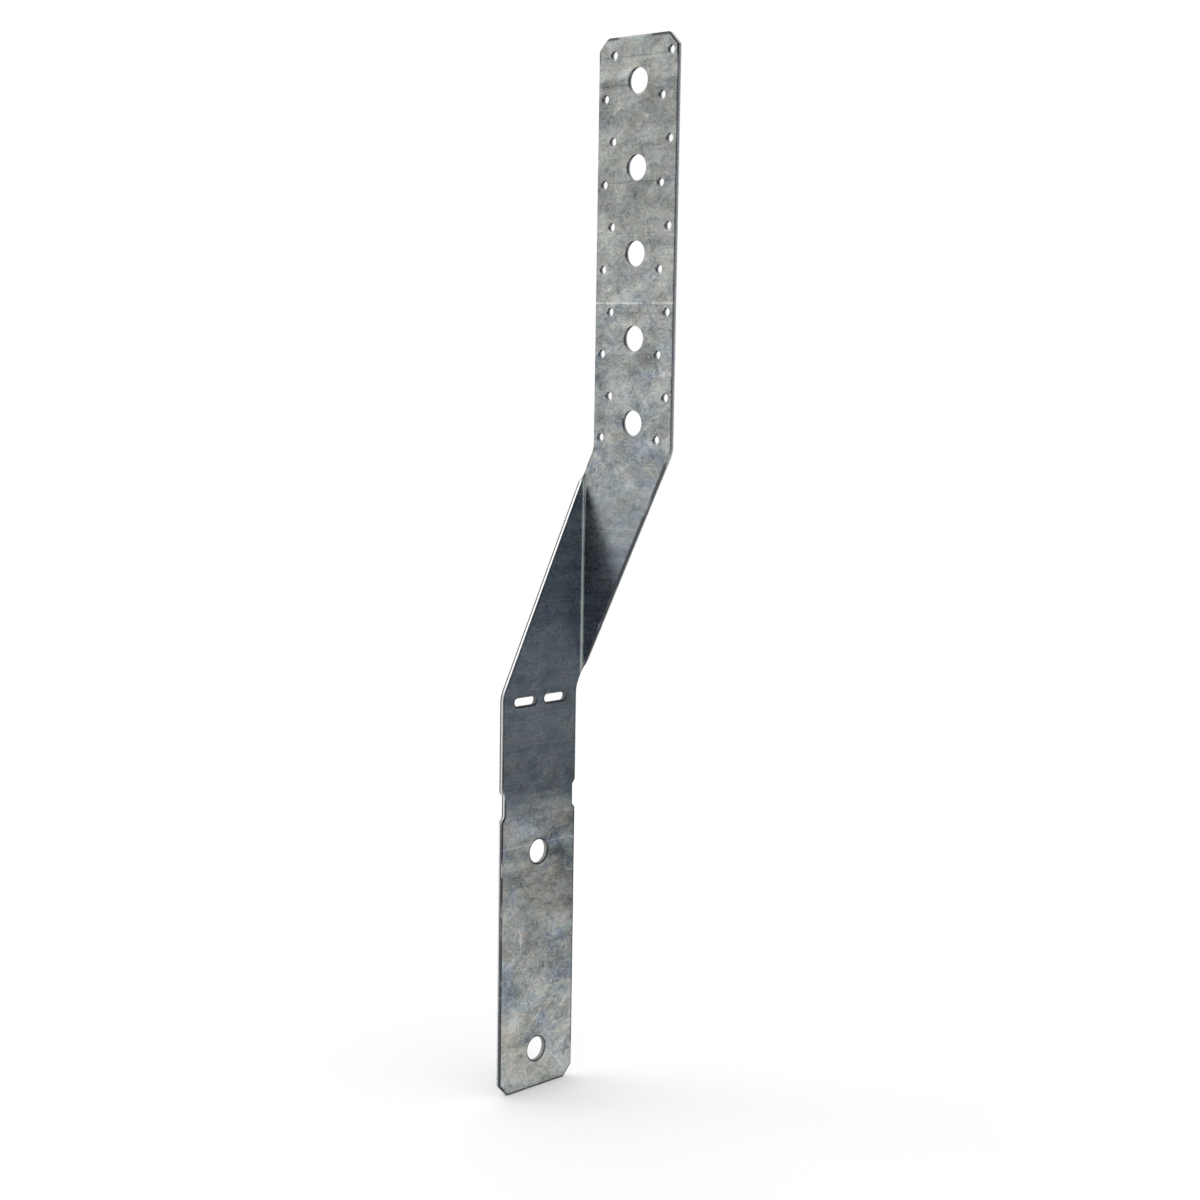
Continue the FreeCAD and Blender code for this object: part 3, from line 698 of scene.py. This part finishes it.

# %% [markdown]
# On a rolled rim the zinc is thin and wears off first, and dark steel shows. The darkening on the
# rims is partly that wear and partly painted shade. How much there is depends on the place:
# hardly any along the upper leg and round its holes, but most of it at the top corners, on the
# upper slanted edge and round the foot and the lower holes. Along the top a dark line of painted
# shade runs along the edge, with a paler stretch in it.

# %% Galvanised sheet: worn rims, painted rim shade and a painted top line
UPPER_WEAR_AND_SHADE_MM = [(101, 0.95), (98, 0.12), (-104, 0.12), (-111, 0.8), (-160, 0.85), (-190, 0.97)]
LOWER_WEAR_AND_SHADE_MM = [(-104, 0.4), (-230, 0.5), (-290, 0.7), (-300, 0.95)]
HOLE_WEAR_AND_SHADE_MM = [(-222, 0.0), (-230, 0.8)]
RIM_REACH, RIM_PATCHES, TOP_SHADE_DARKNESS, TOP_SHADE_PALER = (0.0, 0.2), (0.3, 0.45), 0.7, 0.85
TOP_SHADE_WIDTH, TOP_SHADE_BLUR = 1.6 * MM, 0.2 * MM
TOP_SHADE_PALER_MM = [(10, 0.0), (8, 1.0), (-13, 1.0), (-15, 0.0)]

rim_height = add(tree, "ShaderNodeAttribute", attribute_name="rim"), "Fac"
in_hole = add(tree, "ShaderNodeAttribute", attribute_name="punched"), "Fac"
wear_and_shade = add(tree, "ShaderNodeMix", {0: lower_side, 2: graded(UPPER_WEAR_AND_SHADE_MM, along),
                                   3: graded(LOWER_WEAR_AND_SHADE_MM, along)})
wear_and_shade = add(tree, "ShaderNodeMix", {0: in_hole, 2: (wear_and_shade, 0), 3: graded(HOLE_WEAR_AND_SHADE_MM, along)})
patchy = past(pattern(14, detail=2, shift=139), RIM_PATCHES)
# The rims darken from worn zinc and partly from painted shade.
worn_and_shaded = product(past(rim_height, RIM_REACH), patchy, (wear_and_shade, 0))
# The dark line along the top edge is painted shade, with a paler stretch in it.
top_shade_end = high[1] - TOP_SHADE_WIDTH
painted_top_shade = past(along, (top_shade_end - TOP_SHADE_BLUR, top_shade_end + TOP_SHADE_BLUR))
worn_and_shaded = add(tree, "ShaderNodeMath", {0: worn_and_shaded, 1: product(painted_top_shade, TOP_SHADE_DARKNESS)}, operation="MAXIMUM")
worn_and_shaded = total((worn_and_shaded, 0), [(product(painted_top_shade, graded(TOP_SHADE_PALER_MM, across)), -TOP_SHADE_PALER)])
edged = add(tree, "ShaderNodeMix", {0: worn_and_shaded, 6: (crease_highlighted, 2), 7: linear("#3f4145")}, data_type="RGBA")
print("nodes with the wear:", len(tree.nodes))

# %% [markdown]
# Zinc mirrors softly, and frosted zinc is duller, so the roughness follows the height, with a
# little cloud and grain in it. The same patterns give a relief of a few hundredths of a
# millimetre, which breaks up the reflections. It is a metal, so its colour tints all that it
# mirrors, and the IOR keeps its default.

# %% Galvanised sheet: gloss, relief and shader
FROST_MM = [(-60, 0.31), (-120, 0.28), (-288, 0.25), (-304, 0.36), (-380, 0.42)]
CREASE_HIGHLIGHT_DULLER, RELIEF_STRENGTH, RELIEF_DEPTH = 0.1, 0.28, 0.05 * MM

glossy = mix_tones([(clouds, 0.2), (smears, 0.12), (grain, 0.12)])
rough = total(graded(FROST_MM, wandering), [(glossy, contrast), (painted_crease_highlight, CREASE_HIGHLIGHT_DULLER)])
height = mix_tones([(clouds, 0.4), (streaks, 0.2), (grain, 0.3), (scored, 0.15)], 0.5)
relief = add(tree, "ShaderNodeBump", {"Height": height, "Distance": RELIEF_DEPTH,
                                      "Strength": product(contrast, contrast, RELIEF_STRENGTH)})
surface = add(tree, "ShaderNodeBsdfPrincipled", {"Base Color": (edged, 2), "Metallic": 1.0,
                                                 "Roughness": rough, "Normal": (relief, "Normal")})
add(tree, "ShaderNodeOutputMaterial", {"Surface": (surface, "BSDF")})
print("zinc nodes:", len(tree.nodes))

# %% [markdown]
# ## Sheared steel edge
#
# A cut wall has two zones. Where the punch went in, the tool rubbed the steel, and some zinc
# with it, to a burnished band. Behind it the steel tore. The depth in the sheet tells the two
# apart, with a ragged border. Short lines across the wall are the tool's drag marks, drawn
# 0.35 mm wide, coarser than real ones, so that they show.

# %% Sheared edge: band and tear
BREAK_BLUR, RAGGED = 0.3 * MM, 0.5 * MM
bare, tree = new_material("sheared_steel_edge")
place, across, along, deep = read_blank()

drag_marks = pattern(0.35, (1, 1, 6), detail=3, roughness=0.6, shift=5)
ragged = pattern(1.6, (1, 1, 4), detail=3, roughness=0.6, shift=9)
ragged_depth = total(deep, [(mix_tones([(ragged, 1.0)]), -RAGGED)])
torn = past(ragged_depth, (BAND_DEPTH - BREAK_BLUR / 2, BAND_DEPTH + BREAK_BLUR / 2))
burnished = add(tree, "ShaderNodeValToRGB", {"Fac": drag_marks}, [(0.35, "#c0c0be"), (0.65, "#dededa")])
broken = add(tree, "ShaderNodeValToRGB", {"Fac": drag_marks}, [(0.35, "#c6c6c8"), (0.65, "#e6e6e6")])
dark_edge_grey = add(tree, "ShaderNodeValToRGB", {"Fac": drag_marks}, [(0.35, "#45474a"), (0.65, "#6a6e70")])
print("nodes for band and tear:", len(tree.nodes))

# %% [markdown]
# The strap's own edge isn't even. Along the slanted band its burnished band is near white, a
# painted highlight. Round the foot it is a dark grey, and on the upper leg's slanted edge the same
# dark grey is painted shade. On the rest of the lower leg it is the torn zone that is darker, and
# it draws a dark line along the edge.

# %% Sheared edge: the strap's own edge
FOOT_BETWEEN, UPPER_SLANT_BETWEEN = (-299 * MM, -304 * MM), (-104 * MM, -112 * MM)
EDGE_HIGHLIGHT_STARTS, EDGE_HIGHLIGHT_ENDS = (-104 * MM, -110 * MM), (-234 * MM, -228 * MM)

foot = past(along, FOOT_BETWEEN)
lower_side = past(across, (BEND_X, bend_end))
# The upper leg's slanted edge gets a painted shade.
upper_slant = product(past(along, UPPER_SLANT_BETWEEN), past(lower_side, (1, 0)))
darker_band_place = add(tree, "ShaderNodeMath", {0: foot, 1: upper_slant}, operation="MAXIMUM")
darker_band = product((darker_band_place, 0), past(torn, (1, 0)))
darker_tear = product(lower_side, torn, past(foot, (1, 0)))
darker_edge = add(tree, "ShaderNodeMath", {0: darker_band, 1: darker_tear}, operation="MAXIMUM")
# A painted highlight makes the burnished band near white along the slanted band.
painted_edge_highlight = past(along, EDGE_HIGHLIGHT_STARTS, EDGE_HIGHLIGHT_ENDS)
band = add(tree, "ShaderNodeMix", {0: painted_edge_highlight, 6: (burnished, "Color"), 7: linear("#f0f0ee")},
           data_type="RGBA")
edge = add(tree, "ShaderNodeMix", {0: torn, 6: (band, 2), 7: (broken, "Color")}, data_type="RGBA")
edge = add(tree, "ShaderNodeMix", {0: (darker_edge, 0), 6: (edge, 2), 7: (dark_edge_grey, "Color")}, data_type="RGBA")
print("nodes with the edge:", len(tree.nodes))

# %% [markdown]
# The walls of the holes are darker than the strap's own edge, a painted shade in the holes, and
# too small to show drag marks in their colour, so they get plain greys. In the upper leg's holes
# the band is darker than the tear. The slots, with the deepest painted shade, are darkest, and the
# two anchor holes are a middle grey.

# %% Sheared edge: hole walls with painted shade
LOWER_HOLES_BETWEEN = (-222 * MM, -230 * MM)
LOWER_HOLE_SHADE_MM = [(-290, "#5c5c5e"), (-300, "#8c8c8a")]

in_hole = add(tree, "ShaderNodeAttribute", attribute_name="punched"), "Fac"
# Darker greys for the hole walls, a painted shade.
wall = add(tree, "ShaderNodeMix", {0: torn, 6: linear("#78787c"), 7: linear("#a0a0a2")}, data_type="RGBA")
wall = add(tree, "ShaderNodeMix", {0: past(along, LOWER_HOLES_BETWEEN), 6: (wall, 2),
                                   7: graded(LOWER_HOLE_SHADE_MM, along)}, data_type="RGBA")
steel = add(tree, "ShaderNodeMix", {0: in_hole, 6: (edge, 2), 7: (wall, 2)}, data_type="RGBA")
print("nodes with the walls:", len(tree.nodes))

# %% [markdown]
# Bare steel is a metal too. The torn zone is a little duller than the band, and the drag marks
# are pressed into both.

# %% Sheared edge: gloss, relief and shader
BAND_ROUGHNESS, TEAR_ROUGHNESS, DRAG_STRENGTH, DRAG_DEPTH = 0.42, 0.5, 0.5, 0.04 * MM

rough = add(tree, "ShaderNodeMapRange", {"Value": torn, "To Min": BAND_ROUGHNESS, "To Max": TEAR_ROUGHNESS})
relief = add(tree, "ShaderNodeBump", {"Height": drag_marks, "Strength": DRAG_STRENGTH,
                                      "Distance": DRAG_DEPTH})
surface = add(tree, "ShaderNodeBsdfPrincipled", {"Base Color": (steel, 2), "Metallic": 1.0,
                                                 "Roughness": (rough, 0), "Normal": (relief, "Normal")})
add(tree, "ShaderNodeOutputMaterial", {"Surface": (surface, "BSDF")})
print("edge nodes:", len(tree.nodes))

# %% [markdown]
# ## Dressing the strap
#
# The cut walls take the steel, and everything else the zinc. The new mesh then stands for the
# drawn strap, which is hidden, and rides with the one body that the part has.

# %% The strap wears both finishes
strap.data.materials.append(zinc)
strap.data.materials.append(bare)
strap.data.polygons.foreach_set("material_index", cut.astype(np.int32))
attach(strap, "root")
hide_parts("anchor_strap")
print("materials:", [m.name for m in strap.data.materials])

# %% [markdown]
# ## Floor and background
#
# A catalogue photograph stands on nothing but white. Here a white floor lies under the strap's
# foot, so it keeps a soft shadow, and the world beyond it is the same white at strength 1, so
# no horizon shows. Zinc is a mirror to its surroundings, which makes that white its main light.
# The view transform is Standard, which shows a colour as it is written.

# %% Floor and white background
FLOOR_HALF, FLOOR_GAP, WHITE = 6.0, 0.05 * MM, (1, 1, 1, 1)
FLOOR_AT = CAD_BOX[0].z - FLOOR_GAP

def flat_card(name, corners, colour):
    """A four-cornered card of one plain colour."""
    mesh = bpy.data.meshes.new(name)
    mesh.from_pydata([list(map(float, c)) for c in corners], [], [(0, 1, 2, 3)])
    card = bpy.data.objects.new(name, mesh)
    bpy.context.scene.collection.objects.link(card)
    paper, tree = new_material(name)
    face = add(tree, "ShaderNodeBsdfDiffuse", {"Color": linear(colour)})
    add(tree, "ShaderNodeOutputMaterial", {"Surface": (face, "BSDF")})
    mesh.materials.append(paper)
    return card

corners = np.array([[-1, -1], [1, -1], [1, 1], [-1, 1]]) * FLOOR_HALF
floor = flat_card("floor", np.column_stack([corners, np.full(4, FLOOR_AT)]), "#ffffff")

world = bpy.data.worlds.new("studio")
bpy.context.scene.world = world
world.use_nodes = True
sky = world.node_tree.nodes["Background"]
sky.inputs["Color"].default_value = WHITE
sky.inputs["Strength"].default_value = 1.0
bpy.context.scene.view_settings.view_transform = "Standard"
print("white world, and a floor at", round(FLOOR_AT / MM, 2), "mm:", floor.name)

# %% [markdown]
# ## Dark cards
#
# White on all sides would leave metal flat and pale. Product photographers stand dark cards
# beside it, and what the metal mirrors of them draws its shape. One card on the right darkens
# the lower leg, which faces that way. Inside the fold light bounces twice and comes back beside
# the camera: to its left from the upper leg's side, to its right from the lower leg's. So a dark
# card stands on its left and a grey one on its right. A last dark card lies low behind the
# strap. It darkens what looks down that way: the upper leg's slanted edge, the upper walls of its
# holes, and a little of the lower leg near the foot. The cards are seen in reflections only.

# %% Cards
MIDDLE = np.array([-0.03, -0.02, -0.17])
CARD_TOP, NEAR, FAR = 1.1, 0.62, 1.35
LOW_CARD_X, LOW_CARD_Y, LOW_CARD_LIFT = (-0.8, 0.12), (0.08, 1.6), 10 * MM

def reflected_card(name, corners, colour):
    """A card that shows in the metal, but that the camera and the light pass through."""
    card = flat_card(name, corners, colour)
    for kind in ("camera", "diffuse", "transmission", "shadow"):
        setattr(card, "visible_" + kind, False)
    return card

def upright(first, last, distance):
    """Corners of a card that stands on the floor at a distance from the strap. It fills the view
    from there between two level directions, in degrees from x towards y."""
    middle, half = math.radians(first + last) / 2, math.radians(last - first) / 2
    way = np.array([math.cos(middle), math.sin(middle), 0.0])
    side = np.array([-way[1], way[0], 0.0]) * distance * math.tan(half)
    foot = np.array([MIDDLE[0], MIDDLE[1], FLOOR_AT]) + way * distance
    rise = np.array([0, 0, CARD_TOP - FLOOR_AT])
    return [foot - side, foot + side, foot + side + rise, foot - side + rise]

(left_x, right_x), (near_y, far_y), low_z = LOW_CARD_X, LOW_CARD_Y, FLOOR_AT + LOW_CARD_LIFT
low_corners = [(left_x, near_y, low_z), (right_x, near_y, low_z),
               (right_x, far_y, low_z), (left_x, far_y, low_z)]
cards = [reflected_card("dark_card_right", upright(-9, 62, NEAR), "#68717c"),
         reflected_card("grey_card_behind_camera", upright(-47, -9, FAR), "#b0bac8"),
         reflected_card("dark_card_behind_camera", upright(-92, -47, FAR), "#0e1828"),
         reflected_card("dark_card_low", low_corners, "#24282e")]
print("cards:", [card.name for card in cards])

# %% [markdown]
# ## The lamp
#
# A large soft lamp from the left and above lights the slanted edge and gives the floor its
# shadow. It is weak, because the white surroundings already light the metal. An area lamp shines
# along its own downward axis, so its third axis points from the strap back to the lamp.

# %% Lamp
LAMP_FROM_STRAP, LAMP_SIZE, LAMP_WATTS = np.array([-1.152, -0.672, 0.88]), 0.6, 1.5

lamp_at = MIDDLE + LAMP_FROM_STRAP
back = LAMP_FROM_STRAP / np.linalg.norm(LAMP_FROM_STRAP)
side = np.cross([0, 0, 1.0], back)
side /= np.linalg.norm(side)
light = bpy.data.lights.new("softbox", "AREA")
light.shape, light.size, light.energy = "SQUARE", LAMP_SIZE, LAMP_WATTS
lamp = put("softbox", light, (side, np.cross(back, side), back), lamp_at)
print(lamp.name, "at", lamp_at.round(2))
